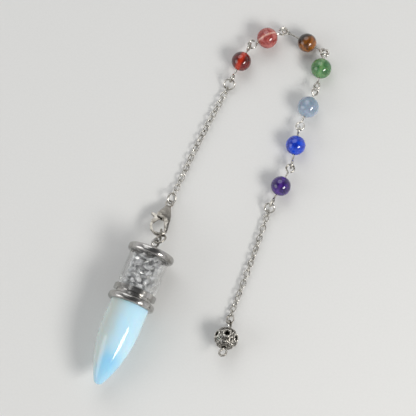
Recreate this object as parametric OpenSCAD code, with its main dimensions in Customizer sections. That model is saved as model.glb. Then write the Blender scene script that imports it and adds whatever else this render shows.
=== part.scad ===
// Dowsing pendulum laid flat: a stone point with a tube of rock-crystal chips, a lobster clasp, two lengths of
// cable chain with seven stone beads between them, and a pierced metal bead at the far end.
// Millimetres, +Z up, the floor is z = 0. Headings are degrees from +Y towards +X, seen from above.

/* [Stone point] */
// Diameter of the stone point where it enters the cap
stone_d = 11.6; // [10.6:0.1:12]
// Length of the stone point that shows
stone_l = 24.8; // [22:0.2:30]
// Length of the rounded nose
nose_l = 18.5; // [14:0.5:20]
// Radius of the very tip
tip_r = 1.6; // [0.8:0.1:2.4]
// Depth that the stone is let into its cap
stone_seat = 0.8; // [0.4:0.1:1.2]

/* [Caps] */
// Diameter of the wide disc of each cap
disc_d = 14.2; // [13.6:0.1:16]
// Thickness of the disc beside the stone
lower_disc_t = 2.1; // [1.7:0.1:2.6]
// Thickness of the disc at the top
upper_disc_t = 2.2; // [1.8:0.1:2.8]
// Radius of the discs' rounded rims
rim_r = 0.8; // [0.4:0.05:0.8]
// Diameter of the groove between the disc and the step
groove_d = 11; // [9:0.1:11.6]
// Height of that groove
groove_h = 1.1; // [0.6:0.1:1.6]
// Diameter of the step that holds the glass
step_d = 13; // [12.8:0.1:13.4]
// Height of that step
step_h = 1.4; // [1:0.1:2]
// Glue gap round what is let into a cap
glue_gap = 0.05; // [0.03:0.01:0.1]

/* [Glass tube] */
// Outer diameter of the glass tube
glass_d = 12; // [11:0.1:12.2]
// Wall of the glass tube
glass_wall = 1; // [0.8:0.05:1.2]
// Length of the glass that shows
glass_l = 10.8; // [8:0.2:16]
// Depth that the glass is let into each cap
glass_seat = 0.6; // [0.3:0.1:0.8]

/* [Crystal chips] */
// Layers of chips along the tube
chip_layers = 4; // [3:1:5]
// Chips round the middle one in each layer
chips_round = 5; // [4:1:6]
// Space left between neighbouring chips
chip_gap = 0.16; // [0.12:0.02:0.3]

/* [Hanging eye and rings] */
// Outer diameter of the eye soldered to the upper cap
cap_eye_d = 2.9; // [2.8:0.05:3.4]
// Wire of that eye
cap_eye_wire = 0.7; // [0.55:0.05:0.75]
// Height of the eye's centre above the cap
cap_eye_rise = 2.3; // [2:0.1:3]
// Outer diameter of the ring in the cap's eye
cap_ring_d = 4.1; // [3.8:0.1:5]
// Outer diameter of the ring in the clasp's hook
clasp_ring_d = 3.8; // [3.6:0.1:4.2]
// Wire of those two rings
ring_wire = 0.65; // [0.5:0.05:0.7]

/* [Lobster clasp] */
// Thickness of the clasp body at its middle
clasp_t = 2.3; // [2:0.1:2.8]
// Wire width of the hook
hook_w = 1; // [0.8:0.05:1.1]
// Radius of the hook's middle line
hook_r = 2.1; // [2:0.05:2.3]
// Outer diameter of the clasp's own eye
clasp_eye_d = 2.6; // [2.5:0.05:2.7]
// Wire of that eye
clasp_eye_wire = 0.55; // [0.5:0.05:0.6]
// Thickness of the lever
lever_t = 1; // [0.8:0.05:1.2]
// Width of the lever's curved strip
lever_w = 0.75; // [0.6:0.05:0.9]
// Diameter of the rivet that the lever turns on
rivet_d = 0.8; // [0.6:0.05:0.9]
// Angle that the lever opens
lever_open = 18; // [10:1:20]

/* [Chains] */
// Inner length of a chain link
link_in_l = 1.82; // [1.7:0.02:2.1]
// Inner width of a chain link
link_in_w = 1.14; // [1.1:0.02:1.4]
// Wire of a chain link
link_wire = 0.36; // [0.3:0.02:0.4]
// Links between the clasp and the beads
chain_a_links = 22; // [12:1:30]
// Links between the beads and the end bead
chain_b_links = 21; // [12:1:30]
// Outer diameter of the jump ring between the clasp and the chain
start_ring_d = 3.8; // [3.7:0.1:4.1]
// Wire of that ring
start_ring_wire = 0.5; // [0.45:0.01:0.54]
// Outer diameter of the jump ring before the beads
ring_a_d = 3.8; // [3.6:0.1:4.4]
// Outer diameter of the jump ring after the beads
ring_b_d = 3.5; // [3.4:0.1:4.2]
// Wire of the jump rings
jump_wire = 0.58; // [0.5:0.02:0.6]

/* [Beads and their wires] */
// Wire through the beads
pin_wire = 0.6; // [0.5:0.02:0.66]
// Outer diameter of the loops on that wire
loop_d = 3; // [2.9:0.05:3.3]
// Bore drilled through each stone bead
bead_bore = 1; // [0.9:0.05:1.2]

/* [End bead] */
// Diameter of the pierced metal bead
end_bead_d = 6.8; // [6.6:0.1:7.6]
// Length of that bead between its flat poles
end_bead_l = 6; // [5.8:0.1:6.2]
// Wall of the pierced metal bead
end_wall = 0.5; // [0.4:0.05:0.7]
// Raised rings round its middle
end_rings = 6; // [5:1:6]
// Diameter of the raised grains
end_grain = 0.5; // [0.4:0.05:0.5]
// Large pierced holes round its middle
end_hole_d = 1.3; // [1:0.05:1.4]
// Smaller holes between them
end_mid_hole_d = 0.7; // [0.5:0.05:0.8]
// Smallest holes near the poles
end_small_hole_d = 0.45; // [0.3:0.05:0.5]
// Outer diameter of the raised rings
end_raised_d = 2.5; // [2.2:0.05:2.6]
// Wire of the raised rings
end_raised_wire = 0.36; // [0.32:0.02:0.4]
// Outer diameter of the rings at the poles
end_pole_d = 2.4; // [2.2:0.05:2.6]
// Wire of the rings at the poles
end_pole_wire = 0.4; // [0.3:0.02:0.44]
// Outer diameter of the loops on the end wire
end_loop_d = 2.7; // [2.6:0.05:3]

/* [Hidden] */
$fn = 48;
metal = "silver";
eps = 0.01;

// Free space kept between two linked wires
link_gap = 0.12;

// One row for each stone bead, from the clasp's side on. Its columns are the bead's diameter, the straight wire
// before and after it, the heading and slope of its wire, the roll of its first and second loop, where 0 lies
// flat and 90 stands up, and the slack in the junction after it.
B_D = 0;
B_IN = 1;
B_OUT = 2;
B_HEAD = 3;
B_SLOPE = 4;
B_ROLL_IN = 5;
B_ROLL_OUT = 6;
B_SLACK = 7;
beads = [
    [6.0, 1.35, 0.35, 28, 3, 80, 85, 0.3],
    [6.4, 0.1, 0.4, 66, 0, 5, 50, 0.75],
    [5.8, 2.7, 1.25, 119.5, 0, -45, -35, 0.9],
    [6.3, 0.1, 1.2, 194.5, 0, 30, 50, 0.25],
    [6.5, 0.5, 1.6, 203, 0, -45, 5, 0.5],
    [6.0, 0.1, 1.4, 192, 0, 85, 85, 0.4],
    [6.0, 1.4, 0.95, 208, -3, 0, -80, 0.3]];

// Headings of the rest of the route
pendant_head = 21.6;
cap_ring_head = 45;
cap_ring_slope = -18;
clasp_ring_head = 5;
clasp_ring_slope = -46;
clasp_head = 18.3;
start_head = 24;
start_slope = -3;
chain_a_head = 23;
chain_a_turn = 0.27;
chain_a_twist = 2.8;
chain_a_slope = -10;
ring_a_head = 25;
ring_b_head = 201;
chain_b_head = 197.8;
chain_b_turn = 0.22;
chain_b_twist = -9.65;
end_ring_head = 186;
end_head = 193;
end_slope = 20;

// Rolls of the rings
cap_eye_roll = 39;
cap_ring_roll = -45;
clasp_ring_roll = 90;
start_roll = 52;
ring_b_roll = 0;
end_ring_roll = 25;
chain_a_rolls = [-56, 10];
chain_b_rolls = [-62, 28];

// A direction in space from its heading and slope
function dir(head, slope = 0) = [sin(head) * cos(slope), cos(head) * cos(slope), sin(slope)];
function flat(p) = [p[0], p[1], 0];
// A length to the nearest thousandth
function even(x) = round(1000 * x) / 1000;
function total(list, last, i = 0) = i > last ? 0 : list[i] + total(list, last, i + 1);

// Puts children at p with their X axis along a heading and slope, rolled about it
module along(p, head, slope = 0, roll = 0)
    translate(p) rotate([0, 0, 90 - head]) rotate([0, -slope, 0]) rotate([roll, 0, 0]) children();

// Straight wire along X
module straight_wire(l, wire) rotate([0, 90, 0]) cylinder(h = l, d = wire);

// Wire that starts along X and turns left on a radius
module turned_wire(r, angle, wire)
    translate([0, r, 0]) rotate([0, 0, -90]) rotate_extrude(angle = angle) translate([r, 0]) circle(d = wire);

// The place where such a turn ends
module after_turn(r, angle) translate([r * sin(angle), r * (1 - cos(angle)), 0]) rotate([0, 0, angle]) children();

// Round ring in the XY plane, its ends butted together
module jump_ring(d, wire) rotate_extrude() translate([(d - wire) / 2, 0]) circle(d = wire);

// Long link in the XY plane, longer along X
module long_link(in_l, in_w, wire) {
    r = (in_w + wire) / 2;
    half = (in_l - in_w) / 2;
    for (side = [0, 180]) rotate([0, 0, side]) {
        translate([half, 0, 0]) rotate([0, 0, -90]) rotate_extrude(angle = 180) translate([r, 0]) circle(d = wire);
        translate([-half, r, 0]) straight_wire(2 * half, wire);
    }
}

// Loop at the end of a bead's wire. The wire comes along X, turns aside at the neck and comes round to it again.
// The neck's angle is that of a triangle with sides 3, 4 and 5, so that the lengths round the loop come out even.
neck_deg = atan2(4, 3);
neck_r = 0.5;
loop_end_gap = 0.12;
function loop_r(d) = (d - pin_wire) / 2;
function neck_side() = neck_r * (1 - cos(neck_deg));
function loop_ahead(d) = (loop_r(d) - neck_side() * cos(neck_deg)) / sin(neck_deg);
function loop_leg(d) = loop_ahead(d) * cos(neck_deg) - neck_side() * sin(neck_deg);
function loop_tail(d) = max(0, (loop_r(d) * cos(neck_deg) - pin_wire / 2 * (1 + cos(neck_deg)) - loop_end_gap)
    / sin(neck_deg));
// From the neck to the middle of the wire at the loop's far end
function loop_reach(d) = neck_r * sin(neck_deg) + loop_ahead(d) + loop_r(d);

module eye_loop(d) {
    turn = 180 + 2 * neck_deg + loop_tail(d) / loop_r(d) * 180 / PI;
    rotate([180, 0, 0]) {
        turned_wire(neck_r, neck_deg, pin_wire);
        after_turn(neck_r, neck_deg) rotate([180, 0, 0]) {
            straight_wire(loop_leg(d), pin_wire);
            translate([loop_leg(d), 0, 0]) turned_wire(loop_r(d), turn, pin_wire);
        }
    }
}

// Wire with a loop at both ends, along X, with the bead's centre at the origin. Each end runs into the bore in its
// own roll, and a core a hair thinner joins them there.
pin_overlap = 0.6;
module eye_pin(bead_l, before, after, d, roll_in, roll_out) {
    core_l = bead_l - pin_overlap;
    translate([-core_l / 2, 0, 0]) straight_wire(core_l, pin_wire - 2 * eps);
    for (end = [[0, after, roll_out], [180, before, roll_in]])
        rotate([end[0] == 0 ? end[2] : 180 + end[2], 0, 0]) rotate([0, 0, end[0]])
            translate([bead_l / 2 - pin_overlap, 0, 0]) {
                straight_wire(pin_overlap + end[1], pin_wire);
                translate([pin_overlap + end[1], 0, 0]) eye_loop(d);
            }
}

// The route is worked out from the middle of the first chain link onwards and backwards
link_w = link_in_w + 2 * link_wire;
chain_z = link_w / 2;
chain_a_pitch = link_in_l - 0.1;
chain_b_pitch = link_in_l - 0.2;
function link_head(head, turn, i) = head + turn * i;
function link_slope(slope, i) = slope * max(0, 1 - i / 3);
function link_at(p, head, turn, slope, pitch, i) = i == 0 ? p
    : link_at(p, head, turn, slope, pitch, i - 1)
        + pitch * dir(link_head(head, turn, i - 0.5), link_slope(slope, i - 0.5));
// From a link's middle to the middle of another wire drawn against its end
function link_hold(wire, gap = link_gap) = link_in_l / 2 - wire / 2 - gap;
loose_gap = 0.2;

chain_a_start = [0, 0, chain_z - link_at([0, 0, 0], 0, 0, chain_a_slope, chain_a_pitch, 3)[2]];
chain_a_end = link_at(chain_a_start, chain_a_head, chain_a_turn, chain_a_slope, chain_a_pitch, chain_a_links - 1);
chain_a_end_head = link_head(chain_a_head, chain_a_turn, chain_a_links - 1);

// Ring after the first chain, low at the chain and raised to the first bead's loop
ring_a_r = (ring_a_d - jump_wire) / 2;
ring_a_near = chain_a_end + link_hold(jump_wire) * dir(chain_a_end_head);
first_loop_z = beads[0][B_D] / 2
    - (beads[0][B_D] / 2 + beads[0][B_IN] + loop_reach(loop_d)) * sin(beads[0][B_SLOPE]);
ring_a_slope = asin(min(0.9, (first_loop_z - chain_z) / (2 * ring_a_r)));
ring_a_at = ring_a_near + ring_a_r * dir(ring_a_head, ring_a_slope);
ring_a_far = ring_a_near + 2 * ring_a_r * dir(ring_a_head, ring_a_slope);

// Length of a bead's wire between the far ends of its loops, and where each wire starts, seen from above
function pin_l(b) = b[B_IN] + b[B_D] + b[B_OUT] + 2 * loop_reach(loop_d);
function pin_start(i) = i == 0
    ? flat(ring_a_far) - ((jump_wire + pin_wire) / 2 + link_gap) * dir(ring_a_head)
    : pin_start(i - 1) + pin_l(beads[i - 1]) * flat(dir(beads[i - 1][B_HEAD], beads[i - 1][B_SLOPE]))
        - (pin_wire + beads[i - 1][B_SLACK]) / 2 * (dir(beads[i - 1][B_HEAD]) + dir(beads[i][B_HEAD]));
function bead_at(i) = pin_start(i) + [0, 0, beads[i][B_D] / 2]
    + (loop_reach(loop_d) + beads[i][B_IN] + beads[i][B_D] / 2) * flat(dir(beads[i][B_HEAD], beads[i][B_SLOPE]));

// Ring after the beads
last = len(beads) - 1;
last_bead = beads[last];
last_end = bead_at(last)
    + (last_bead[B_D] / 2 + last_bead[B_OUT] + loop_reach(loop_d)) * dir(last_bead[B_HEAD], last_bead[B_SLOPE]);
ring_b_r = (ring_b_d - jump_wire) / 2;
ring_b_near = last_end - ((jump_wire + pin_wire) / 2 + loose_gap) * dir(ring_b_head);
ring_b_slope = -asin(min(0.9, (last_end[2] - chain_z) / (2 * ring_b_r)));
ring_b_at = ring_b_near + ring_b_r * dir(ring_b_head, ring_b_slope);
ring_b_far = ring_b_near + 2 * ring_b_r * dir(ring_b_head, ring_b_slope);

chain_b_start = ring_b_far + link_hold(jump_wire, loose_gap) * dir(chain_b_head);
chain_b_end = link_at(chain_b_start, chain_b_head, chain_b_turn, 0, chain_b_pitch, chain_b_links - 1);
chain_b_end_head = link_head(chain_b_head, chain_b_turn, chain_b_links - 1);

// Long ring at the end bead
long_ring_l = 2.3;
long_ring_w = 1.7;
long_ring_wire = 0.45;
long_ring_half = (long_ring_l + long_ring_wire) / 2;

end_stem = 0.3;
end_pin_half = end_bead_l / 2 + end_stem + loop_reach(end_loop_d);
// The bead's shell lies a little inside its diameter, and its raised rings stand out a little over it
end_sunk = 0.12;
end_bead_z = end_bead_d / 2 + end_sunk;
end_loop_z = end_bead_z - end_pin_half * sin(end_slope);
end_ring_near = chain_b_end + link_hold(long_ring_wire, loose_gap) * dir(chain_b_end_head);
end_ring_slope = asin(min(0.9, (end_loop_z - chain_z) / (2 * long_ring_half)));
end_ring_at = end_ring_near + long_ring_half * dir(end_ring_head, end_ring_slope);
end_ring_far = end_ring_near + 2 * long_ring_half * dir(end_ring_head, end_ring_slope);
end_bead_at = flat(end_ring_far) - ((long_ring_wire + pin_wire) / 2 + loose_gap) * dir(end_head)
    + end_pin_half * flat(dir(end_head, end_slope)) + [0, 0, end_bead_z];

// Backwards from the first link: ring, clasp, two rings, the cap's eye
start_r = (start_ring_d - start_ring_wire) / 2;
start_far = chain_a_start - link_hold(start_ring_wire) * dir(chain_a_head, chain_a_slope);
start_at = start_far - start_r * dir(start_head, start_slope);
start_near = start_far - 2 * start_r * dir(start_head, start_slope);

// The clasp lies in its own frame: its eye at the origin, its hook towards -X, its lever towards +Y
pivot = [-4.8, 1.35];
spine = [-4.9, -0.95];
hook_at = [-8.85, 0.25];
hook_start_deg = 262;
hook_tip_deg = 135;
hook_hold_deg = 212;
lever_arc_at = [-8, -0.8];
lever_arc_r = 3.72;
lever_reach = 5.7;
clasp_eye_at = start_near;

// Two rings hang from the cap's eye down to the hook
cap_ring_r = (cap_ring_d - ring_wire) / 2;
clasp_ring_r = (clasp_ring_d - ring_wire) / 2;
cap_eye_r = (cap_eye_d - cap_eye_wire) / 2;
eye_to_cap_ring = cap_eye_r - (cap_eye_wire + ring_wire) / 2 - link_gap + cap_ring_r;
cap_to_clasp_ring = cap_ring_r + clasp_ring_r - ring_wire - link_gap;
clasp_ring_to_hook = clasp_ring_r - (ring_wire + hook_w) / 2 - link_gap - 0.2;
pendant_z = disc_d / 2;
hook_hold = hook_at + hook_r * [cos(hook_hold_deg), sin(hook_hold_deg)];
linkage = eye_to_cap_ring * dir(cap_ring_head, cap_ring_slope)
    + (cap_to_clasp_ring + clasp_ring_to_hook) * dir(clasp_ring_head, clasp_ring_slope);
hook_z = pendant_z + linkage[2];
clasp_slope = asin((hook_z - clasp_eye_at[2]) / -hook_hold[0]);
hook_hold_at = clasp_eye_at + hook_hold[0] * dir(clasp_head, -clasp_slope)
    + hook_hold[1] * dir(clasp_head - 90);
cap_eye_at = hook_hold_at - linkage;

// The pendant's own frame: its axis along X from the eye's centre towards the tip
upper_face = cap_eye_rise;
glass_top = upper_face + upper_disc_t;
glass_bottom = glass_top + glass_l;
lower_cap_l = step_h + groove_h + lower_disc_t;
stone_top = glass_bottom + lower_cap_l;
tip_at = stone_top + stone_l;
nose_r = even((pow(nose_l - tip_r, 2) + pow(stone_d / 2, 2) - pow(tip_r, 2)) / (stone_d - 2 * tip_r));

// Middle of the whole thing on the floor, from the outermost stone nose and beads
nose_mid = cap_eye_at - (tip_at - nose_l) * dir(pendant_head)
    - (stone_d / 2 - nose_r) * dir(pendant_head + 90);
left_x = nose_mid[0] - nose_r;
bottom_y = (cap_eye_at - (tip_at - tip_r) * dir(pendant_head))[1] - tip_r;
right_x = max([for (i = [0:last]) bead_at(i)[0] + beads[i][B_D] / 2]);
top_y = max([for (i = [0:last]) bead_at(i)[1] + beads[i][B_D] / 2]);
middle = [(left_x + right_x) / 2, (bottom_y + top_y) / 2, 0];

module placed() translate(-middle) children();
module in_pendant() placed() along(cap_eye_at, pendant_head + 180) rotate([0, 90, 0]) children();
module in_clasp() placed() along(clasp_eye_at, clasp_head, -clasp_slope) children();

// Disc with a rounded rim, from z = 0 up
module rounded_disc(d, t) {
    r = min(rim_r, t / 2 - eps);
    rotate_extrude() {
        square([d / 2 - r, t]);
        translate([0, r]) square([d / 2, t - 2 * r]);
        for (y = [r, t - r]) translate([d / 2 - r, y]) circle(r);
    }
}

module stone_point() color("lightblue") in_pendant() translate([0, 0, tip_at]) mirror([0, 0, 1]) {
    r = stone_d / 2;
    lean = (nose_l - tip_r) / (nose_r - tip_r);
    join = even(tip_r * (1 - lean));
    rotate_extrude() {
        translate([0, nose_l]) square([r, stone_l + stone_seat - glue_gap - nose_l]);
        intersection() {
            translate([r - nose_r, nose_l]) circle(nose_r);
            translate([0, join]) square([2 * r, nose_l - join]);
        }
        intersection() {
            translate([0, tip_r]) circle(tip_r);
            translate([0, -tip_r]) square([2 * tip_r, tip_r + join]);
        }
    }
}

module lower_cap() color(metal) in_pendant() translate([0, 0, glass_bottom]) difference() {
    union() {
        cylinder(h = step_h, d = step_d);
        translate([0, 0, step_h - eps]) cylinder(h = groove_h + 2 * eps, d = groove_d);
        translate([0, 0, step_h + groove_h]) rounded_disc(disc_d, lower_disc_t);
    }
    translate([0, 0, -eps]) cylinder(h = glass_seat + eps, d = glass_d + 2 * glue_gap);
    translate([0, 0, lower_cap_l - stone_seat]) cylinder(h = stone_seat + eps, d = stone_d + 2 * glue_gap);
}

module upper_cap() color(metal) in_pendant() {
    difference() {
        translate([0, 0, upper_face]) rounded_disc(disc_d, upper_disc_t);
        translate([0, 0, glass_top - glass_seat]) cylinder(h = glass_seat + eps, d = glass_d + 2 * glue_gap);
    }
    // Soldered foot and eye
    foot = cap_eye_rise - cap_eye_r;
    translate([0, 0, cap_eye_r]) cylinder(h = foot + eps, d = cap_eye_wire);
    translate([0, 0, upper_face - foot / 2]) cylinder(h = foot / 2 + eps, d1 = cap_eye_wire, d2 = 2.4 * cap_eye_wire);
    rotate([0, 0, 90 - cap_eye_roll]) rotate([90, 0, 0]) jump_ring(cap_eye_d, cap_eye_wire);
}

module glass_tube() color("lightcyan", 0.4) in_pendant()
    translate([0, 0, glass_top - glass_seat + glue_gap]) difference() {
        l = glass_l + 2 * (glass_seat - glue_gap);
        cylinder(h = l, d = glass_d);
        translate([0, 0, -eps]) cylinder(h = l + 2 * eps, d = glass_d - 2 * glass_wall);
    }

// Each chip is a tumbled splinter, a few random blocks cut down to its own share of the tube
module chip_blocks(size, turns) intersection() {
    rotate([turns[0], turns[1], turns[2]]) cube([1.3, 0.95, 1.1] * size, center = true);
    rotate([turns[3], turns[4], turns[5]]) cube([1.15, 1.05, 1.2] * size, center = true);
}

module crystal_chips() color("white") in_pendant() {
    bore_r = glass_d / 2 - glass_wall - chip_gap;
    low = glass_top - glass_seat + chip_gap;
    layer = (glass_l + 2 * glass_seat - chip_gap) / chip_layers;
    core_r = 0.3 * bore_r;
    step = 360 / chips_round;
    ring_size = layer * 1.12;
    for (k = [0:chip_layers - 1]) translate([0, 0, low + k * layer]) {
        turns = rands(0, 360, 6 * (chips_round + 1), 11 + k);
        intersection() {
            cylinder(h = layer - chip_gap, r = core_r);
            translate([0, 0, layer / 2]) chip_blocks(layer, turns);
        }
        for (j = [0:chips_round - 1]) rotate([0, 0, (j + k / 2) * step]) intersection() {
            difference() {
                cylinder(h = layer - chip_gap, r = bore_r);
                translate([0, 0, -eps]) cylinder(h = layer, r = core_r + chip_gap);
            }
            linear_extrude(layer) polygon([[chip_gap, 0],
                2 * bore_r * [cos(step / 2), sin(step / 2)] - chip_gap / 2 * [-sin(step / 2), cos(step / 2)],
                2 * bore_r * [cos(step / 2), -sin(step / 2)] - chip_gap / 2 * [-sin(step / 2), -cos(step / 2)]]);
            translate([(bore_r + core_r) / 2, 0, layer / 2])
                chip_blocks(ring_size, [for (q = [0:5]) turns[6 * (j + 1) + q]]);
        }
    }
}

module cap_ring() color(metal) placed()
    along(cap_eye_at + eye_to_cap_ring * dir(cap_ring_head, cap_ring_slope), cap_ring_head, cap_ring_slope,
        cap_ring_roll) jump_ring(cap_ring_d, ring_wire);

module clasp_ring() color(metal) placed()
    along(hook_hold_at - clasp_ring_to_hook * dir(clasp_ring_head, clasp_ring_slope), clasp_ring_head, clasp_ring_slope,
        clasp_ring_roll) jump_ring(clasp_ring_d, ring_wire);

// Outline between two circles, drawn round both. Its straight sides run a hair inside the tangents.
module tapered(p1, r1, p2, r2) {
    gap = norm(p2 - p1);
    turn = atan2(p2[1] - p1[1], p2[0] - p1[0]);
    lean = acos((r1 - r2) / gap);
    translate(p1) circle(r1);
    translate(p2) circle(r2);
    polygon([
        p1 + (r1 - eps) * [cos(turn + lean), sin(turn + lean)],
        p1 + (r1 - eps) * [cos(turn - lean), sin(turn - lean)],
        p2 + (r2 - eps) * [cos(turn - lean), sin(turn - lean)],
        p2 + (r2 - eps) * [cos(turn + lean), sin(turn + lean)]]);
}

// Part of a flat ring, from one angle to another, with its middle line on radius r
module flat_arc(r, w, from, to) intersection() {
    difference() {
        circle(r + w / 2);
        circle(r - w / 2);
    }
    far = 2 * (r + w);
    polygon([[0, 0], for (i = [0:4]) far * [cos(from + (to - from) * i / 4), sin(from + (to - from) * i / 4)]]);
}

// Both faces of the clasp swell towards the middle
swell_r = 16;
swell_at = -5.2;
module clasp_swell() intersection() {
    $fn = 360;
    translate([swell_at, 0, clasp_t / 2 - swell_r]) rotate([90, 0, 0]) cylinder(h = 20, r = swell_r, center = true);
    translate([swell_at, 0, swell_r - clasp_t / 2]) rotate([90, 0, 0]) cylinder(h = 20, r = swell_r, center = true);
}

module clasp_body() color(metal) in_clasp() {
    slot_gap = 0.1;
    slot_t = lever_t + 2 * slot_gap;
    neck = [-1.45, -0.1];
    hook_start = hook_at + hook_r * [cos(hook_start_deg), sin(hook_start_deg)];
    difference() {
        union() {
            difference() {
                intersection() {
                    linear_extrude(2 * clasp_t, center = true) {
                        tapered(neck, 0.75, pivot, 0.95);
                        tapered(neck, 0.74, spine, 1.05);
                        tapered(spine, 0.85, pivot, 0.86);
                        tapered(spine, 1.04, hook_start, hook_w / 2);
                    }
                    clasp_swell();
                }
                translate([0, 0, -clasp_t]) cylinder(h = 2 * clasp_t, r = (clasp_eye_d - clasp_eye_wire) / 2);
            }
            jump_ring(clasp_eye_d, clasp_eye_wire);
            // The hook has a rounded section
            translate(hook_at) rotate([0, 0, hook_tip_deg]) rotate_extrude(angle = hook_start_deg + 1 - hook_tip_deg)
                tapered([hook_r, -0.2], hook_w / 2 - eps, [hook_r, 0.2], hook_w / 2 - eps);
        }
        // Slot for the lever
        translate([pivot[0], pivot[1], -slot_t / 2]) {
            cylinder(h = slot_t, r = lever_root_r + slot_gap);
            linear_extrude(slot_t) polygon([[0.5, 0.5], [0.5, 3.5], [-4, 3.5], [-4, -1.3], [0, -0.8]]);
        }
        // Way for the lever's tip, past the end of the hook
        translate([pivot[0], pivot[1], -clasp_t]) intersection() {
            cylinder(h = 2 * clasp_t, r = lever_reach + link_gap);
            translate([-7, -1.7, 0]) cube([3.4, 4.7, 2 * clasp_t]);
        }
    }
    translate([pivot[0], pivot[1], -clasp_t / 2]) cylinder(h = clasp_t, d = rivet_d);
}

lever_root_r = 0.8;
module clasp_lever() color("gainsboro") in_clasp() difference() {
    union() {
        intersection() {
            linear_extrude(lever_t, center = true) {
                tapered(pivot, lever_root_r, [-7.5, 2.72], 0.42);
                translate(lever_arc_at) flat_arc(lever_arc_r, lever_w, 60, 138);
            }
            translate([pivot[0], pivot[1], -lever_t]) cylinder(h = 2 * lever_t, r = lever_reach);
        }
        linear_extrude(lever_t, center = true) tapered([-5.4, 2.6], 0.45, [-5, 3.75], 0.3);
    }
    translate([pivot[0], pivot[1], -lever_t]) cylinder(h = 2 * lever_t, d = rivet_d + 0.1);
}

module start_ring() color(metal) placed()
    along(start_at, start_head, start_slope, start_roll) jump_ring(start_ring_d, start_ring_wire);

// A chain whose links stand and lie by turns, with a slow twist along it
module chain(start, head, turn, slope, pitch, links, rolls, twist) placed() for (i = [0:links - 1])
    along(link_at(start, head, turn, slope, pitch, i), link_head(head, turn, i), link_slope(slope, i),
        rolls[i % 2] + twist * i) long_link(link_in_l, link_in_w, link_wire);

module chain_a() color(metal)
    chain(chain_a_start, chain_a_head, chain_a_turn, chain_a_slope, chain_a_pitch, chain_a_links, chain_a_rolls,
        chain_a_twist);
module chain_b() color(metal)
    chain(chain_b_start, chain_b_head, chain_b_turn, 0, chain_b_pitch, chain_b_links, chain_b_rolls,
        chain_b_twist);

module ring_a() color(metal) placed() along(ring_a_at, ring_a_head, ring_a_slope) jump_ring(ring_a_d, jump_wire);
module ring_b() color(metal) placed()
    along(ring_b_at, ring_b_head, ring_b_slope, ring_b_roll) jump_ring(ring_b_d, jump_wire);

module on_pin(i) placed() along(bead_at(i), beads[i][B_HEAD], beads[i][B_SLOPE]) children();
module stone_bead(i) on_pin(i) rotate([0, 90, 0]) rotate_extrude() intersection() {
    circle(d = beads[i][B_D]);
    translate([bead_bore / 2, -beads[i][B_D]]) square(2 * beads[i][B_D]);
}
module bead_pin(i) color(metal) on_pin(i)
    eye_pin(beads[i][B_D], beads[i][B_IN], beads[i][B_OUT], loop_d, beads[i][B_ROLL_IN], beads[i][B_ROLL_OUT]);

module end_ring() color(metal) placed()
    along(end_ring_at, end_ring_head, end_ring_slope, end_ring_roll)
        long_link(long_ring_l, long_ring_w, long_ring_wire);

module on_end_pin() placed() along(end_bead_at, end_head, end_slope) children();

// Puts children on the end bead's surface at a longitude and latitude about X, with their Z axis outwards
module on_bead(longitude, latitude, r) rotate([longitude, 0, 0]) rotate([0, 90 - latitude - 90, 0])
    translate([0, 0, r]) children();

module end_bead() color(metal) on_end_pin() {
    r = end_bead_d / 2 - end_sunk;
    step = 360 / end_rings;
    difference() {
        rotate([0, 90, 0]) rotate_extrude() intersection() {
            difference() {
                circle(r);
                circle(r - end_wall);
            }
            translate([bead_bore / 2 + 0.1, -end_bead_l / 2]) square([2 * r, end_bead_l]);
        }
        // Pierced holes, each through one side
        for (j = [0:end_rings - 1]) {
            on_bead(j * step, 0, r / 2) cylinder(h = r, d = end_hole_d);
            for (side = [-1, 1]) {
                on_bead((j + 0.5) * step, side * 26, r / 2) cylinder(h = r, d = end_mid_hole_d);
                on_bead((j + 0.25) * step, side * 47, r / 2) cylinder(h = r, d = end_small_hole_d);
                on_bead((j + 0.75) * step, side * 47, r / 2) cylinder(h = r, d = end_small_hole_d);
            }
        }
    }
    // Raised wire rings and grains
    for (j = [0:end_rings - 1]) {
        on_bead(j * step, 0, r - end_sunk) jump_ring(end_raised_d, end_raised_wire);
        for (side = [-1, 1]) {
            on_bead((j + 0.5) * step, side * 12, r) sphere(d = end_grain);
            on_bead((j + 0.5) * step, side * 40, r) sphere(d = end_grain);
            on_bead(j * step, side * 44, r) sphere(d = end_grain);
        }
    }
    for (side = [-1, 1]) translate([side * (end_bead_l / 2 - end_pole_wire / 4), 0, 0]) rotate([0, 90, 0])
        jump_ring(end_pole_d, end_pole_wire);
}

module end_pin() color(metal) on_end_pin() eye_pin(end_bead_l, end_stem, end_stem, end_loop_d, 115, 20);

stone_point();
lower_cap();
glass_tube();
crystal_chips();
upper_cap();
cap_ring();
clasp_ring();
clasp_body();
clasp_lever();
start_ring();
chain_a();
ring_a();
color("firebrick") stone_bead(0);  // bead_red
color("lightcoral") stone_bead(1);  // bead_pink
color("saddlebrown") stone_bead(2);  // bead_brown
color("seagreen") stone_bead(3);  // bead_green
color("lightsteelblue") stone_bead(4);  // bead_pale_blue
color("royalblue") stone_bead(5);  // bead_blue
color("rebeccapurple") stone_bead(6);  // bead_purple
bead_pin(0);  // pin_red
bead_pin(1);  // pin_pink
bead_pin(2);  // pin_brown
bead_pin(3);  // pin_green
bead_pin(4);  // pin_pale_blue
bead_pin(5);  // pin_blue
bead_pin(6);  // pin_purple
ring_b();
chain_b();
end_ring();
end_bead();
end_pin();
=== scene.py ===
# %% [markdown]
# # A dowsing pendulum, laid out on a table
#
# The real object is a small stone point in a silver cap, with a glass tube of rock-crystal chips
# above it. A lobster clasp joins it to a fine cable chain, then come seven drilled stone beads on
# bent wire, a second chain and a pierced silver bead. The hard shapes are already modelled to size
# in CAD. This lesson loads them as a frame, sets up a camera and a small studio, and then gives
# every piece its finish. Two pieces are modelled anew, where the real ones have detail that only
# shows in the surface: the crystal chips, and the beaded wire on the pierced bead.

# %% Load the frame
import math
import random
import bpy
import bmesh
from mathutils import Matrix, Vector


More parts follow.
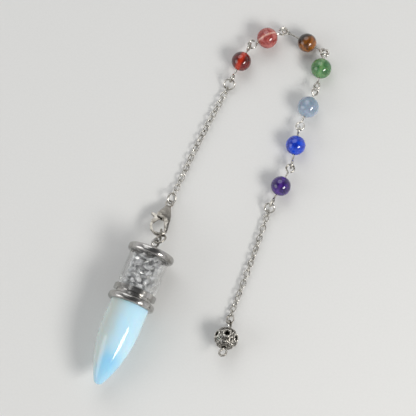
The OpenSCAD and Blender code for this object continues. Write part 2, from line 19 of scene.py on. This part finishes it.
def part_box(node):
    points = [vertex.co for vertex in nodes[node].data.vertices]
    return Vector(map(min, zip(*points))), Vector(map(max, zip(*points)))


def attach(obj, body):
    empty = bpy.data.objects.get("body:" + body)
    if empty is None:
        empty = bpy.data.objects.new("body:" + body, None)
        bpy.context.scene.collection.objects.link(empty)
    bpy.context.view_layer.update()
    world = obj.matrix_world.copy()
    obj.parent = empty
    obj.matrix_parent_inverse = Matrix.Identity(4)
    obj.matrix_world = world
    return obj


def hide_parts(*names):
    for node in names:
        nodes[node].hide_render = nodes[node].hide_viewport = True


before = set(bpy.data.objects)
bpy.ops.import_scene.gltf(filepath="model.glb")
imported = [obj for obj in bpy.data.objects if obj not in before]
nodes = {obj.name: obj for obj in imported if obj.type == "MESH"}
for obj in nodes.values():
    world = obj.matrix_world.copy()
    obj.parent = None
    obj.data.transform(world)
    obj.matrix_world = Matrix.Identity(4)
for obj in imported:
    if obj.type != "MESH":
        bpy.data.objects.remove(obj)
bpy.context.view_layer.update()
print("nodes:", len(nodes))

# %% [markdown]
# ## Measures
#
# Blender works in metres and the object in millimetres, so one name for a millimetre keeps the
# numbers readable. Places are not typed in: they are asked of the frame, so a piece lands where
# its neighbour really is. A direction on the table is a heading, counted from +Y towards +X.

# %% Measures
mm = 0.001


def middle(node):
    """Middle of a node's box, in metres."""
    low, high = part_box(node)
    return (low + high) / 2


def box_in_mm(node):
    """Sizes of a node's box, for a line of print."""
    low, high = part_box(node)
    return [round((b - a) / mm, 1) for a, b in zip(low, high)]


tube_axis = (middle("lower_cap") - middle("upper_cap")).normalized()
tube_heading = math.atan2(tube_axis.x, tube_axis.y)
print("the pendant's heading is", round(math.degrees(tube_heading), 1), "degrees")

# %% [markdown]
# ## Camera
#
# A small object that lies flat is best seen from nearly overhead through a long lens, so that its
# near and far ends keep their true sizes. A camera can be turned by hand until it fits, but here
# it is placed from three values: how high it stands above the horizon, how far away it is and the
# point it looks at. The focal length is counted in the picture's own pixels, because that ratio
# alone decides how large the object shows. The camera looks along its own -Z, so one turn about X
# is enough for a view from the front.

# %% Camera
camera_rise = math.radians(76)
camera_far = 450 * mm
look_at = Vector((-2.3 * mm, -1.6 * mm, 2 * mm))
sensor_width = 36
picture_width = 416
focal_length = 1500

camera_data = bpy.data.cameras.new("camera")
camera_data.sensor_width = sensor_width
camera_data.lens = sensor_width * focal_length / picture_width
camera_data.clip_start = 0.01
camera_data.clip_end = 20
camera = bpy.data.objects.new("camera", camera_data)
towards_camera = Vector((0, -math.cos(camera_rise), math.sin(camera_rise)))
camera.location = look_at + camera_far * towards_camera
camera.rotation_euler = (math.pi / 2 - camera_rise, 0, 0)
bpy.context.scene.collection.objects.link(camera)
bpy.context.scene.camera = camera
print("camera at mm", [round(c / mm) for c in camera.location])

# %% [markdown]
# ## Shader sums in plain Python
#
# A finish that varies over a surface is a sum of patterns, and the light of a room is another.
# Wiring each sum by hand hides the idea, so a small class wraps one socket and turns +, - and *
# into Math nodes. A second class holds the nodes of one material or room, and has a single method
# that makes any other node from its kind, its settings and its values.


# %% A value that varies
class Value:
    """A number, colour or vector that can change from place to place."""

    def __init__(self, owner, socket):
        self.owner = owner
        self.socket = socket

    def math(self, operation, left, right=0.0):
        """One Math node, on this value's own set of nodes."""
        return self.owner.add("Math", {"operation": operation}, {0: left, 1: right})

    def __add__(self, other):
        return self.math("ADD", self, other)

    def __radd__(self, other):
        return self.math("ADD", other, self)

    def __sub__(self, other):
        return self.math("SUBTRACT", self, other)

    def __rsub__(self, other):
        return self.math("SUBTRACT", other, self)

    def __mul__(self, other):
        return self.math("MULTIPLY", self, other)

    def __rmul__(self, other):
        return self.math("MULTIPLY", other, self)

    def size(self):
        """The number without its sign."""
        return self.math("ABSOLUTE", self)


print("values can be added, subtracted and multiplied")


# %% A set of nodes
class NodeSet:
    """The nodes of one material or room, and the shader that they feed."""

    def __init__(self, tree, shader):
        self.tree = tree
        self.shader = tree.nodes[shader]

    def add(self, kind, settings=None, values=None, out=0):
        """Makes one node. Settings come first, as they can change which sockets there are."""
        node = self.tree.nodes.new("ShaderNode" + kind)
        for name, value in (settings or {}).items():
            if name == "stops":
                for stop, (place, colour) in zip(node.color_ramp.elements, value):
                    stop.position = place
                    stop.color = colour
            else:
                setattr(node, name, value)
        for socket, value in (values or {}).items():
            if isinstance(value, Value):
                self.tree.links.new(value.socket, node.inputs[socket])
            else:
                node.inputs[socket].default_value = value
        return Value(self, node.outputs[out])

    def part(self, vector, axis):
        """One of the three numbers in a vector."""
        return self.add("SeparateXYZ", {}, {0: vector}, out=axis)

    def feed(self, socket, value):
        """Links a value to a socket of the shader."""
        self.tree.links.new(value.socket, self.shader.inputs[socket])


print("a set of nodes can", [name for name in vars(NodeSet) if not name.startswith("_")])

# %% [markdown]
# ## Studio
#
# Polished stones and metal mostly show what is around them, so the studio matters as much as the
# finishes. Two lamps stand at the right and the left: the small, wide right one makes the bright
# points on the beads and the long streak on the stone, and the broad left one a weaker second
# point. A large soft panel lights the floor. The room has pale walls, which keep the shadows
# soft, and a dark ceiling: seen from above, the tops of the metal mirror that ceiling, so they
# keep dark parts between their highlights.


# %% Lamps
def lamp(name, direction, distance, width, height, watts, tint=(1, 1, 1)):
    """An oval soft lamp that faces the object. Its width lies level."""
    data = bpy.data.lights.new(name, "AREA")
    data.shape = "ELLIPSE"
    data.size = width
    data.size_y = height
    data.energy = watts
    data.color = tint
    light = bpy.data.objects.new(name, data)
    place = Vector(direction).normalized()
    light.location = look_at + distance * place
    light.rotation_euler = place.to_track_quat("Z", "Y").to_euler()
    bpy.context.scene.collection.objects.link(light)


lamp("key_lamp", direction=(0.6, -0.48, 0.64), distance=0.6, width=0.34, height=0.18,
     watts=2.2, tint=(1, 0.98, 0.95))
lamp("left_lamp", direction=(-0.89, -0.14, 0.44), distance=0.6, width=0.4, height=0.4, watts=0.7)
lamp("soft_panel", direction=(-0.2, 0.75, 0.9), distance=0.9, width=0.8, height=0.8,
     watts=2.6, tint=(0.98, 0.99, 1))

# %% Room
pale_walls = (0.86, 0.86, 0.87, 1)
dark_ceiling = (0.15, 0.152, 0.158, 1)
walls_end = 0.25
ceiling_starts = 0.85

world = bpy.data.worlds.new("studio")
world.use_nodes = True
room = NodeSet(world.node_tree, "Background")
upwards = room.part(room.add("TexCoord", out="Generated"), "Z")
stops = ((walls_end, pale_walls), (ceiling_starts, dark_ceiling))
room.feed("Color", room.add("ValToRGB", {"stops": stops}, {0: upwards}))
room.shader.inputs["Strength"].default_value = 0.85
bpy.context.scene.world = world
bpy.context.scene.view_settings.view_transform = "Standard"
print("the room has", len(world.node_tree.nodes), "nodes")

# %% [markdown]
# ## Finishes
#
# A finish is a set of nodes with a few more helpers. Numbers that are the same all over a surface
# go straight to the shader, and patterns are fed to it afterwards. Every pattern reads places in
# millimetres on the piece itself, so its scale is the real one and it stays put when the piece
# moves.


# %% Colours
def screen(red, green, blue):
    """A colour as a screen shows it, 0 to 255, as the linear colour that shaders use."""
    def linear(c):
        c = c / 255
        return c / 12.92 if c <= 0.04045 else ((c + 0.055) / 1.055) ** 2.4
    return (linear(red), linear(green), linear(blue), 1.0)


print("mid grey is", [round(c, 3) for c in screen(128, 128, 128)])


# %% Finish of a piece
class Finish(NodeSet):
    """One material, with its shader and the nodes that vary it."""

    def __init__(self, name, **constants):
        self.material = bpy.data.materials.new(name)
        self.material.use_nodes = True
        super().__init__(self.material.node_tree, "Principled BSDF")
        for socket, value in constants.items():
            self.shader.inputs[socket.replace("_", " ")].default_value = value

    def places(self, centre, turn=0.0):
        """Places on the piece in millimetres from a centre, with Y turned to a heading."""
        return self.add("Mapping", {"vector_type": "TEXTURE"}, {
            "Vector": self.add("TexCoord", out="Object"), "Location": centre,
            "Rotation": (0, 0, -turn), "Scale": (mm, mm, mm)})

    def stretch(self, places, turn, scale):
        """Turns the places and scales each axis. A small scale draws a pattern out along it."""
        return self.add("Mapping", {}, {"Vector": places, "Rotation": turn, "Scale": scale})

    def noise(self, places, scale, detail=3.0, roughness=0.5, bend=0.0):
        """Cloudy noise around 0.5. Scale is in clouds per millimetre."""
        return self.add("TexNoise", {}, {"Vector": places, "Scale": scale, "Detail": detail,
                                         "Roughness": roughness, "Distortion": bend})

    def cells(self, places, scale):
        """Distance from the nearest of many chance points."""
        return self.add("TexVoronoi", {}, {"Vector": places, "Scale": scale})

    def rise(self, value, low, high):
        """0 below the low value and 1 above the high one, with soft ends."""
        return self.add("MapRange", {"interpolation_type": "SMOOTHSTEP"}, {
            "Value": value, "From Min": low, "From Max": high})

    def mix(self, share, first, second):
        """Mixes two colours. A Mix node has sockets for each kind, and these are the colours'."""
        return self.add("Mix", {"data_type": "RGBA"}, {0: share, 6: first, 7: second}, out=2)

    def bump(self, height, strength, depth):
        """Lets the light see a height pattern that is this deep."""
        self.feed("Normal", self.add("Bump", {}, {
            "Height": height, "Strength": strength, "Distance": depth}))


print("a finish can also", [name for name in vars(Finish) if not name.startswith("_")])


# %% Wearing a finish
def wear(material, *names):
    """Gives CAD nodes a material."""
    for name in names:
        nodes[name].material_slots[0].material = material
    print(material.name, "is worn by", *names)


# %% [markdown]
# ## Floor
#
# The floor is a sheet of pale paper. A plane that ends in view would show a horizon in the low
# views, so it is made very large. Real paper has a faint grain, which a low bump gives. The floor
# is stage, not object.

# %% Floor
floor_half = 3

shape = bmesh.new()
bmesh.ops.create_grid(shape, x_segments=4, y_segments=4, size=floor_half)
mesh = bpy.data.meshes.new("floor")
shape.to_mesh(mesh)
shape.free()
floor = bpy.data.objects.new("floor", mesh)
bpy.context.scene.collection.objects.link(floor)
paper = Finish("pale_paper", Roughness=0.85)
grain = paper.noise(paper.places((0, 0, 0)), scale=1.6, detail=4.0)
paper.feed("Base Color", paper.mix(grain, screen(218, 218, 216), screen(224, 224, 222)))
paper.bump(grain, strength=0.15, depth=0.02 * mm)
mesh.materials.append(paper.material)
print("floor is", round(floor.dimensions.x, 1), "m wide")

# %% [markdown]
# ## Silver plate
#
# The fittings are brass with a bright plate. A plain metal shader looks too perfect, because real
# plate is never even: polishing leaves faint cloudy patches, handling leaves fine scratches, and
# the hollows darken. So the colour runs between a clean and a dull tone, the roughness follows the
# same clouds, and a fine stretched noise gives the scratches. Pieces differ in how dull they are,
# so the finish is a function.


# %% Silver finish
def silver(name, clean, dull, cloud, shine, haze, scratch):
    """Plated metal. Cloud is the size of its dull patches in mm, shine the least roughness,
    haze what the patches add to it and scratch the strength of the scratches."""
    metal = Finish(name, Metallic=1.0)
    spot = metal.places((0, 0, 0))
    clouds = metal.noise(spot, scale=1 / cloud, detail=4.0, roughness=0.6, bend=0.4)
    specks = metal.noise(spot, scale=4.0, detail=2.0, roughness=0.6)
    patch = metal.rise(clouds + specks * 0.25, 0.5, 0.85)
    metal.feed("Base Color", metal.mix(patch, clean, dull))
    metal.feed("Roughness", patch * haze + shine + specks * 0.05)
    rubbed = metal.stretch(spot, turn=(0.3, 0.2, 0.7), scale=(0.6, 7.0, 7.0))
    metal.bump(metal.noise(rubbed, scale=1.0), strength=scratch, depth=0.02 * mm)
    return metal.material


bright = silver("bright_silver", clean=screen(188, 186, 183), dull=screen(130, 128, 124),
                cloud=4.0, shine=0.1, haze=0.1, scratch=0.12)
worn = silver("worn_silver", clean=screen(176, 172, 164), dull=screen(122, 117, 109),
              cloud=2.4, shine=0.17, haze=0.1, scratch=0.14)
wire = silver("wire_silver", clean=screen(212, 209, 202), dull=screen(150, 146, 138),
              cloud=1.5, shine=0.14, haze=0.14, scratch=0.15)
wear(bright, "upper_cap", "lower_cap")
wear(worn, "clasp_body", "clasp_lever", "clasp_ring", "cap_ring", "end_pin", "end_ring")
wear(wire, "start_ring", "ring_a", "ring_b", "chain_a", "chain_b", "pin_red", "pin_pink",
     "pin_brown", "pin_green", "pin_pale_blue", "pin_blue", "pin_purple")

# %% [markdown]
# The clasp is cast and then tumbled, so it has no sharp edge anywhere. CAD keeps its edges crisp,
# which is right for measuring, and modifiers round them here without touching the mesh. A CAD mesh
# is loose triangles, so Weld joins them first, and Bevel then works only on edges that turn by
# more than a curved face does. Hardened normals keep the flat faces flat, so that the light
# doesn't smear from a worn edge across a flat.

# %% Worn edges of the clasp
join_within = 0.002 * mm
worn_away = 0.12 * mm
edge_angle = math.radians(40)

for name in ("clasp_body", "clasp_lever"):
    joined = nodes[name].modifiers.new("joined", "WELD")
    joined.merge_threshold = join_within
    edges = nodes[name].modifiers.new("worn_edges", "BEVEL")
    edges.width = worn_away
    edges.segments = 2
    edges.limit_method = "ANGLE"
    edges.angle_limit = edge_angle
    edges.use_clamp_overlap = True
    edges.harden_normals = True
    print(name, [m.type for m in nodes[name].modifiers])

# %% [markdown]
# ## The end bead
#
# The pierced bead is the same plate, but it was darkened on purpose and then wiped, so that the
# raised wires are bright and everything deeper is nearly black. Depth is easy on a ball: it is the
# distance from the middle, here in millimetres. It runs from the inside of the wall to the top of
# the wires, and drives both colour and roughness. Between the rings the real bead is strewn with
# tiny soldered grains. Thousands of modelled grains would be wasted at this size, so a Voronoi
# pattern draws them: bright domes, with the dark seams where the wiping never reached.

# %% Depths on the end bead
hole_dark, hole_rim = 2.85, 3.2
wire_foot, wire_wiped = 3.4, 3.54

antique = Finish("antique_silver", Metallic=1.0)
spot = antique.places(middle("end_bead"))
depth = antique.add("VectorMath", {"operation": "LENGTH"}, {0: spot}, out="Value")
grime = antique.noise(spot, scale=1.7, detail=4.0, roughness=0.6)
raised = antique.rise(depth + grime * 0.14, wire_foot, wire_wiped)
outside = antique.rise(depth, hole_dark, hole_rim)
print("end bead is", box_in_mm("end_bead"), "mm")

# %% Tones of the end bead
wire_tone = antique.mix(grime, screen(232, 229, 222), screen(196, 191, 182))
grain_tone = antique.mix(grime, screen(205, 201, 193), screen(150, 145, 136))
grains = antique.cells(spot, scale=2.1)
seams = antique.rise(grains + grime * 0.25, 0.42, 0.72) * 0.85
bare = antique.mix(seams, grain_tone, screen(38, 35, 31))
bare = antique.mix(outside, screen(40, 37, 33), bare)
antique.feed("Base Color", antique.mix(raised, bare, wire_tone))
antique.feed("Roughness", 0.34 - raised * 0.14)
antique.bump((1 - grains * grains) * (1 - raised), strength=0.8, depth=0.12 * mm)
wear(antique.material, "end_bead")

# %% [markdown]
# The filigree itself is rings of wire rolled to a row of tiny balls. Cutting such wire in CAD
# would be slow, so the rings there are plain and the balls are laid on them here. Each ball is an
# icosphere of twenty faces, round enough at its size, and its place is worked out with the same
# turns that place the rings: about the bead's own axis, and then out to its surface. The few that
# would reach under the table are left off.


# %% Helpers for new pieces
def new_piece(name, bm, material, body="pendulum"):
    """Turns a bmesh into a piece of the object that moves with one of its bodies."""
    mesh = bpy.data.meshes.new(name)
    bm.to_mesh(mesh)
    bm.free()
    piece = bpy.data.objects.new(name, mesh)
    bpy.context.scene.collection.objects.link(piece)
    mesh.materials.append(material)
    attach(piece, body)
    print(name, "has", len(mesh.polygons), "faces")
    return piece


def row_of_balls(shape, middle_of_row, radius, count, ball):
    """Balls in a ring about the Z axis of its frame."""
    for k in range(count):
        a = 2 * math.pi * k / count
        on_ring = Matrix.Translation((radius * math.cos(a), radius * math.sin(a), 0))
        place = middle_of_row @ on_ring
        if place.translation.z > ball:
            bmesh.ops.create_icosphere(shape, subdivisions=1, radius=ball, matrix=place)


print("pieces can be added")

# %% Frame of the end bead
end_heading = 193
end_slope = 20
end_radius = 3.28 * mm

end_turn = Matrix.Rotation(math.radians(90 - end_heading), 4, "Z")
end_tilt = Matrix.Rotation(math.radians(-end_slope), 4, "Y")
end_frame = Matrix.Translation(middle("end_bead")) @ end_turn @ end_tilt
print("the end bead's wire slopes by", end_slope, "degrees")

# %% Beaded wire on the end bead
side_rings = 6
side_out = end_radius + 0.03 * mm
pole_out = 2.95 * mm
collar_in = 0.62 * mm

shape = bmesh.new()
for j in range(side_rings):
    outwards = end_frame @ Matrix.Rotation(math.radians(360 / side_rings * j), 4, "X")
    row_of_balls(shape, outwards @ Matrix.Translation((0, 0, side_out)),
                 radius=1.07 * mm, count=15, ball=0.2 * mm)
for side in (-1, 1):
    pole = Matrix.Translation((side * pole_out, 0, 0)) @ Matrix.Rotation(math.pi / 2, 4, "Y")
    pole = end_frame @ pole
    collar = pole @ Matrix.Translation((0, 0, -side * collar_in))
    row_of_balls(shape, pole, radius=1.0 * mm, count=14, ball=0.21 * mm)
    row_of_balls(shape, collar, radius=2.35 * mm, count=30, ball=0.19 * mm)
for face in shape.faces:
    face.smooth = True
beaded_wire = new_piece("beaded_wire", shape, antique.material)

# %% [markdown]
# ## Opalite point
#
# Opalite is a milky glass that scatters blue light and lets warm light through, so one side looks
# sky blue and the other a warm pale grey. It could be done with a true scattering volume, but that
# is slow and can't be baked. That light is painted instead as colour over the stone: across it from
# blue to warm grey, deeper blue towards the tip, and a milky edge of painted scattered light all
# round. The numbers of each rise are millimetres from the stone's middle. Some subsurface light
# softens the stone, and a clear coat gives the polish.

# %% Opalite places
opalite = Finish("opalite", Roughness=0.08, Subsurface_Weight=0.2, Subsurface_Scale=2.5 * mm,
                 IOR=1.42, Coat_Weight=0.5, Coat_Roughness=0.02)
spot = opalite.places(middle("stone_point"), tube_heading)
across = opalite.part(spot, "X")
along = opalite.part(spot, "Y")
up = opalite.part(spot, "Z")
cloud = opalite.noise(spot, scale=0.11, bend=0.3)
print("stone is", box_in_mm("stone_point"), "mm")

# %% Opalite finish
sky_blue, warm_grey = screen(190, 229, 246), screen(194, 204, 199)
deep_blue, milk_white = screen(140, 208, 244), screen(208, 232, 238)

# Painted light: blue scattered light on one side, warm let-through light on the other, and deeper
# blue towards the tip.
painted_warm_light = opalite.rise(across + cloud * 2.4, 1.2, 7.0)
tone = opalite.mix(painted_warm_light, sky_blue, warm_grey)
tip = opalite.rise(along + cloud * 5.0, 4.0, 11.5)
core = 1 - opalite.rise(across.size(), 1.6, 4.6)
tone = opalite.mix(tip * core * 0.85, tone, deep_blue)
# Painted scattered light: a milky edge, paler low on the stone.
edge = 1 - opalite.rise(up, 0.6, 4.4)
tone = opalite.mix(edge * 0.35, tone, milk_white)
opalite.feed("Base Color", tone)
wear(opalite.material, "stone_point")

# %% [markdown]
# ## Glass tube and crystal chips
#
# The tube is clear glass. A renderer finds few light paths through two curved glass walls, so true
# glass alone leaves the chips inside in shadow. Here the glass is partly let through as plain air:
# most where it faces you, and hardly at its edges, where a real tube shows its wall as a bright
# and a dark line. A thin even wall hardly bends what is seen through it, so the body has a low
# IOR, and the coat over it gives the reflections of glass.

# %% Glass tube
glass = Finish("clear_glass", Roughness=0.02, IOR=1.15, Transmission_Weight=1.0,
               Coat_Weight=1.0, Coat_Roughness=0.01)
smear = glass.noise(glass.places(middle("glass_tube")), scale=0.35)
glass.feed("Base Color", glass.mix(smear, screen(250, 251, 251), screen(238, 241, 241)))
glass.feed("Roughness", smear * 0.04 + 0.005)
edge = glass.add("LayerWeight", {}, {"Blend": 0.4}, out="Facing")
glass.feed("Alpha", edge * edge * 0.7 + smear * 0.06 + 0.1)
wear(glass.material, "glass_tube")

# %% [markdown]
# The chips in the tube are tumbled rock crystal, each with its own broken shape. Drawing them all
# by hand is slow and copies of one chip look alike, so each chip is the hull of a dozen chance
# points on an egg shape, which gives it flats as breaking does, and a bevel wears its edges. To
# fill the tube, the chips start at chance places and push each other apart until they fit, as when
# the tube is shaken. The chance is seeded, so each run is the same. In CAD they are plain blocks
# with gaps, and this piece stands for them. The chips are placed in millimetres from the middle of
# the tube, with Z along it, and the tube's frame puts them where the tube lies.

# %% Chips at chance places
bore = 4.82
half_length = 5.85
chip_count = 88
chip_sizes = (1.0, 1.55)
start_spread = 0.7

chance = random.Random(21)
chip_places = []
for k in range(chip_count):
    size = chance.uniform(*chip_sizes)
    spot = Vector([chance.uniform(-1, 1) * (bore - size) * start_spread for axis in range(2)]
                  + [(k / (chip_count - 1) * 2 - 1) * (half_length - size)])
    chip_places.append([spot, size])
print("chips:", len(chip_places), "in a tube", 2 * half_length, "mm long")

# %% Chips shaken apart
shakes = 90
chip_to_chip = 0.86
chip_to_wall = 0.9

for shake in range(shakes):
    for j, (spot, size) in enumerate(chip_places):
        for other in chip_places[j + 1:]:
            apart = spot - other[0]
            overlap = chip_to_chip * (size + other[1]) - apart.length
            if overlap > 0:
                push = apart.normalized() * overlap / 2
                spot += push
                other[0] -= push
        from_axis = math.hypot(spot.x, spot.y)
        room_around = bore - chip_to_wall * size
        if from_axis > room_around:
            spot.x *= room_around / from_axis
            spot.y *= room_around / from_axis
        reach = half_length - chip_to_wall * size
        spot.z = max(-reach, min(reach, spot.z))
print("the chips reach", round(max(spot.z for spot, size in chip_places), 2), "mm up the tube")

# %% Shapes of the chips
chip_corners = 12
flatness = (1, 0.86, 0.72)

to_tube = tube_axis.to_track_quat("Z", "Y").to_matrix().to_4x4()
tube_frame = Matrix.Translation(middle("glass_tube")) @ to_tube
tube_frame = tube_frame @ Matrix.Scale(mm, 4)
shape = bmesh.new()
for spot, size in chip_places:
    lie = Matrix.Rotation(chance.uniform(0, math.pi), 4,
                          Vector([chance.gauss(0, 1) for axis in range(3)]))
    egg = Matrix.Diagonal([size * share for share in flatness] + [1])
    corners = []
    for k in range(chip_corners):
        point = Vector([chance.gauss(0, 1) for axis in range(3)]).normalized()
        corner = tube_frame @ Matrix.Translation(spot) @ lie @ egg @ point
        corners.append(shape.verts.new(corner))
    bmesh.ops.convex_hull(shape, input=corners)
bmesh.ops.recalc_face_normals(shape, faces=shape.faces)
bmesh.ops.bevel(shape, geom=shape.edges[:], offset=0.13 * mm, affect="EDGES", segments=1,
                profile=0.5, material=-1, clamp_overlap=True)
print("chips have", len(shape.faces), "faces")

# %% [markdown]
# Rock crystal is clear, but a heap of small chips looks whitish, because each flat sends the light
# another way. Glass all through would be slow and dark in here. So the chips are only partly clear,
# veils of frost make them whiter and rougher in places, and a bump breaks up their reflections.

# %% Rock crystal
quartz = Finish("rock_crystal", Roughness=0.04, IOR=1.54, Transmission_Weight=0.42,
                Coat_Weight=1.0, Coat_Roughness=0.02)
spot = quartz.places(middle("glass_tube"))
veils = quartz.noise(spot, scale=0.9, detail=4.0, roughness=0.6, bend=0.6)
frost = quartz.rise(veils, 0.42, 0.6)
quartz.feed("Base Color", quartz.mix(frost, screen(208, 210, 211), screen(255, 255, 255)))
quartz.feed("Roughness", frost * 0.16 + 0.015)
quartz.bump(quartz.noise(spot, scale=1.4), strength=1.0, depth=0.15 * mm)
chips = new_piece("tumbled_chips", shape, quartz.material)
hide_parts("crystal_chips")

# %% [markdown]
# ## Stone beads
#
# Seven polished beads, each another stone. They share their build: a clear coat over a body that
# lets a little light in, and a pattern on the bead's own axes, with Y along the wire. What differs
# is the pattern. Glassy stones are cloudy and show a pale line of painted light where the wire runs
# through them, tiger eye has silky bands and a painted golden sheen, aventurine has flakes with
# painted glints, and lapis is nearly even. Each bead gets a cell of its own, so that it can be
# tuned by itself.


# %% Helpers for the beads
def bead_finish(name, node, heading, light_inside=0.1):
    """A polished stone bead, and the places on it with Y along its wire."""
    stone = Finish(name, Roughness=0.1, IOR=1.54, Subsurface_Weight=light_inside,
                   Subsurface_Scale=1.2 * mm, Coat_Weight=0.4, Coat_Roughness=0.02)
    wear(stone.material, node)
    return stone, stone.places(middle(node), math.radians(heading))


def clouded(stone, value, low, high, dark, pale):
    """A body that runs from dark to pale as a pattern rises."""
    return stone.mix(stone.rise(value, low, high), dark, pale)


def line_of_wire(stone, spot, width):
    """1 above the bead's wire and 0 away from it."""
    return 1 - stone.rise(stone.part(spot, "X").size(), 0.2 * width, width)


print("bead helpers are ready")

# %% [markdown]
# Carnelian is a red chalcedony, cloudy but clear enough for light to gather along the drilled hole.
# The clouds are noise between two deep reds, and a broad bright band along the wire is that
# gathered light, painted.

# %% Carnelian
stone, spot = bead_finish("carnelian", "bead_red", heading=28)
cloud = stone.noise(spot, scale=0.45, detail=4.0, roughness=0.6, bend=0.8)
body = clouded(stone, cloud, 0.35, 0.65, dark=screen(62, 4, 2), pale=screen(116, 12, 4))
# Painted light: a broad bright band of light gathered along the hole.
painted_light_along_wire = line_of_wire(stone, spot, width=1.2) * 0.8
stone.feed("Base Color", stone.mix(painted_light_along_wire, body, screen(196, 48, 12)))

# %% [markdown]
# Strawberry quartz is pink with fine wisps. Its noise has fine detail and is strongly bent, so that
# the clouds curl, and the wire seen through the stone is a thin pale line of painted light.

# %% Strawberry quartz
stone, spot = bead_finish("strawberry_quartz", "bead_pink", heading=66, light_inside=0.25)
cloud = stone.noise(spot, scale=0.5, detail=5.0, roughness=0.65, bend=1.0)
body = clouded(stone, cloud, 0.38, 0.62, dark=screen(142, 48, 46), pale=screen(184, 100, 92))
# Painted light: a thin pale line where the wire shows through.
painted_light_along_wire = line_of_wire(stone, spot, width=0.45) * 0.6
stone.feed("Base Color", stone.mix(painted_light_along_wire, body, screen(232, 190, 172)))

# %% [markdown]
# Tiger eye is made of parallel fibres, so one side of it shines golden while the other stays dark.
# Noise drawn out along the fibres gives the silky bands, and a slanted rise across the bead paints
# that golden sheen on one side and leaves the other dark. Little light enters it.

# %% Tiger eye
stone, spot = bead_finish("tiger_eye", "bead_brown", heading=119.5, light_inside=0.05)
silk = stone.stretch(spot, turn=(0, 0, 0.9), scale=(0.25, 1.3, 1.3))
bands = stone.noise(silk, scale=0.55, detail=2.0, roughness=0.4, bend=0.3)
body = clouded(stone, bands, 0.36, 0.62, dark=screen(80, 44, 10), pale=screen(156, 90, 18))
# Painted sheen: a slanted rise across the bead, golden on one side and dark on the other.
slant = stone.part(spot, "Y") + stone.part(spot, "X") * 0.6 + bands * 1.2
painted_golden_sheen = stone.rise(slant, -1.6, 1.8)
stone.feed("Base Color", stone.mix(painted_golden_sheen, screen(32, 21, 8), body))

# %% [markdown]
# Aventurine is green quartz full of tiny glinting flakes. The flakes are Voronoi cells: close to
# each chance point the tone is pale, the flake's own tone with a painted glint, and the rest keeps
# its soft green clouds. The wire seen through the stone is a faint pale line of painted light.

# %% Aventurine
stone, spot = bead_finish("aventurine", "bead_green", heading=194.5, light_inside=0.3)
cloud = stone.noise(spot, scale=0.4, detail=4.0, roughness=0.6, bend=0.6)
body = clouded(stone, cloud, 0.35, 0.65, dark=screen(54, 104, 56), pale=screen(94, 142, 88))
# Painted light: a faint pale line where the wire shows through.
painted_light_along_wire = line_of_wire(stone, spot, width=0.8) * 0.35
body = stone.mix(painted_light_along_wire, body, screen(150, 190, 130))
# Painted glints: pale flakes near each chance point.
glints = 1 - stone.rise(stone.cells(spot, scale=2.4), 0.05, 0.2)
stone.feed("Base Color", stone.mix(glints * 0.5, body, screen(170, 206, 160)))

# %% [markdown]
# This agate is milky and almost even. Light that enters its top gathers low in the bead, and that
# light is painted: the tone grows paler from the top down, over very soft clouds.

# %% Pale agate
stone, spot = bead_finish("pale_agate", "bead_pale_blue", heading=203, light_inside=0.3)
cloud = stone.noise(spot, scale=0.35, detail=5.0, roughness=0.6, bend=0.5)
body = clouded(stone, cloud, 0.3, 0.7, dark=screen(122, 140, 158), pale=screen(156, 172, 190))
# Painted light: the lower bead, where the gathered light shows, is paler.
light_gathered_low = 1 - stone.rise(stone.part(spot, "Z"), 0.2, 1.9)
stone.feed("Base Color", stone.mix(light_gathered_low * 0.5, body, screen(176, 194, 214)))

# %% [markdown]
# Lapis is opaque and deep blue all through. Two close blues in soft clouds are enough.

# %% Lapis
stone, spot = bead_finish("lapis", "bead_blue", heading=192, light_inside=0.08)
cloud = stone.noise(spot, scale=0.6, detail=4.0, roughness=0.6, bend=0.4)
body = clouded(stone, cloud, 0.35, 0.65, dark=screen(4, 40, 158), pale=screen(12, 72, 210))
stone.feed("Base Color", body)

# %% [markdown]
# Amethyst is purple quartz, darkest where it is thick. Clouds run between two purples, and the wire
# seen through the stone is a faint paler line of painted light.

# %% Amethyst
stone, spot = bead_finish("amethyst", "bead_purple", heading=208, light_inside=0.12)
cloud = stone.noise(spot, scale=0.45, detail=4.0, roughness=0.6, bend=0.7)
body = clouded(stone, cloud, 0.35, 0.65, dark=screen(36, 9, 82), pale=screen(68, 30, 128))
# Painted light: a faint paler line where the wire shows through.
painted_light_along_wire = line_of_wire(stone, spot, width=0.7) * 0.3
stone.feed("Base Color", stone.mix(painted_light_along_wire, body, screen(108, 64, 170)))

# %% [markdown]
# ## The end
#
# The last line brings the scene up to date.

# %% End
bpy.context.view_layer.update()
